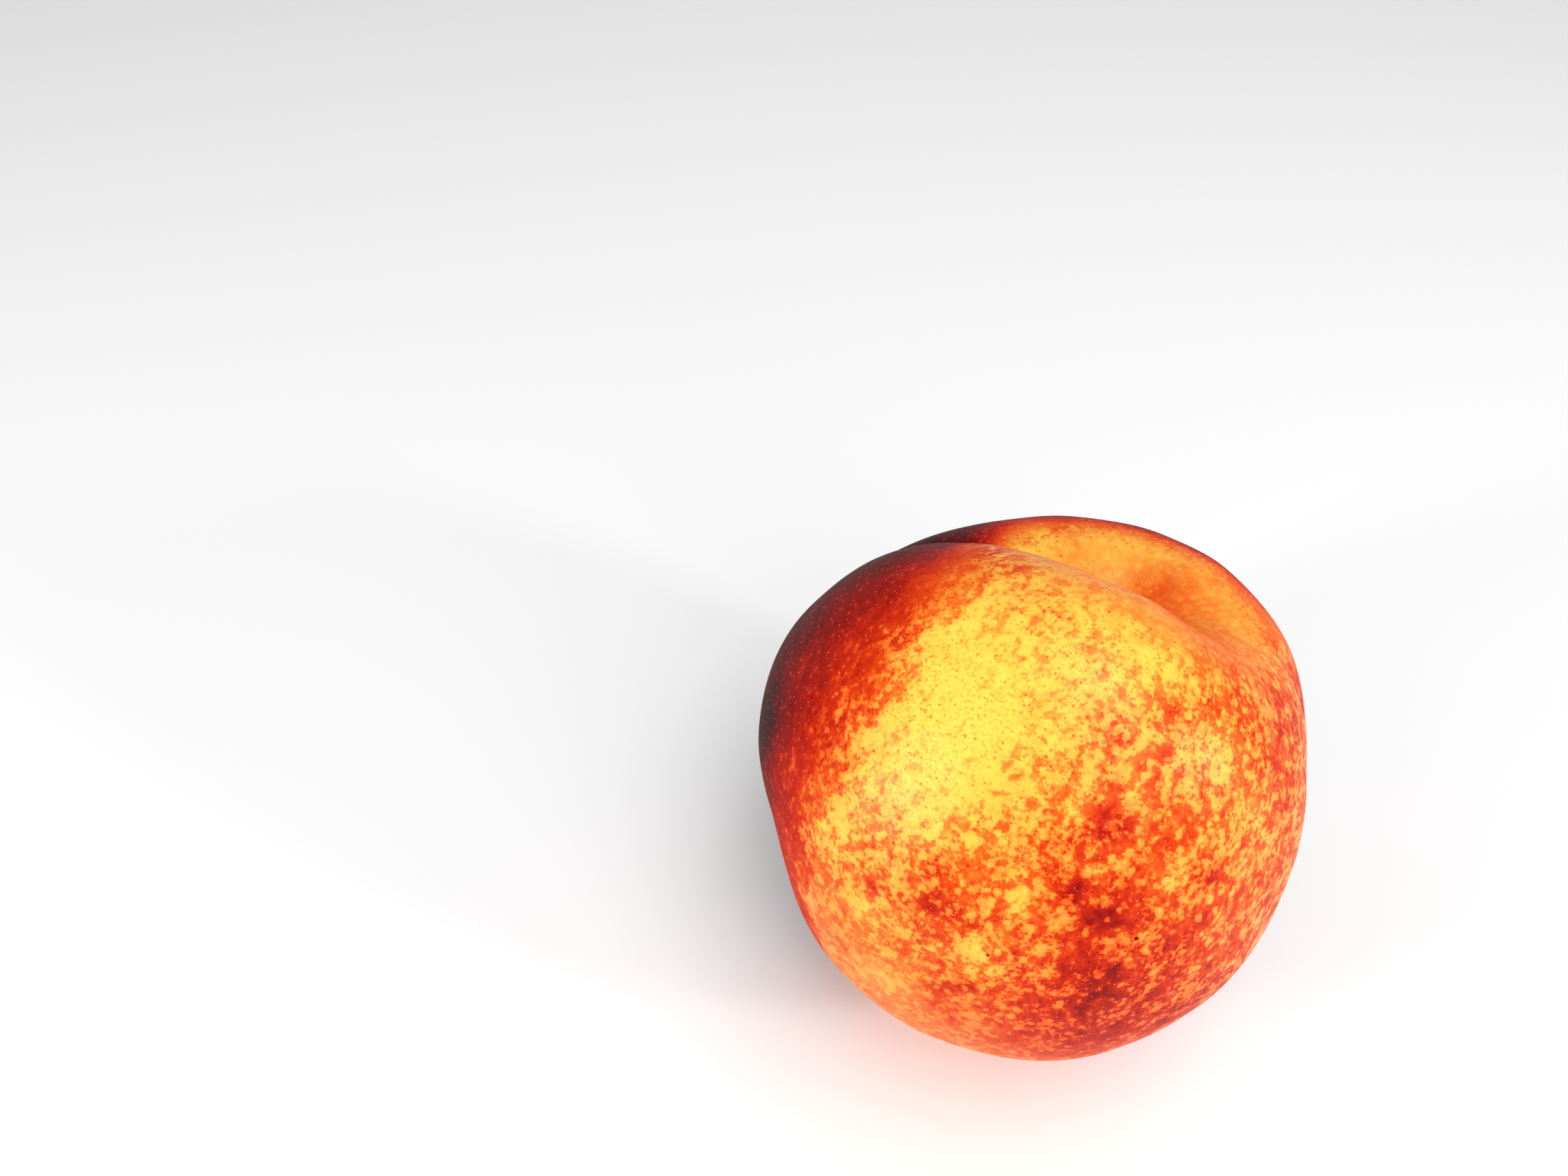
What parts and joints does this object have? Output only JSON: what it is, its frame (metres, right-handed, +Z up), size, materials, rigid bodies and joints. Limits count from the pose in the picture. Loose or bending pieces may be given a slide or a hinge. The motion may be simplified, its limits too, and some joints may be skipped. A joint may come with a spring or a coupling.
{
  "type": "nectarine",
  "caption": "Whole ripe nectarine with smooth skin, a suture groove, a stem cavity and a small blossom tip, lying on a small flat spot.",
  "frame": {"origin": "centre of the small flat spot that the fruit rests on, at table height", "axes": "+Z up from the table; the stem end leans up and back, towards +X and +Y"},
  "size_m": [0.0683, 0.069, 0.0701],
  "materials": {
    "skin": "smooth waxy fruit skin, satin, yellow mottled with red and maroon"
  },
  "bodies": {
    "root": {"nectarine": "skin"}
  },
  "joints": []
}
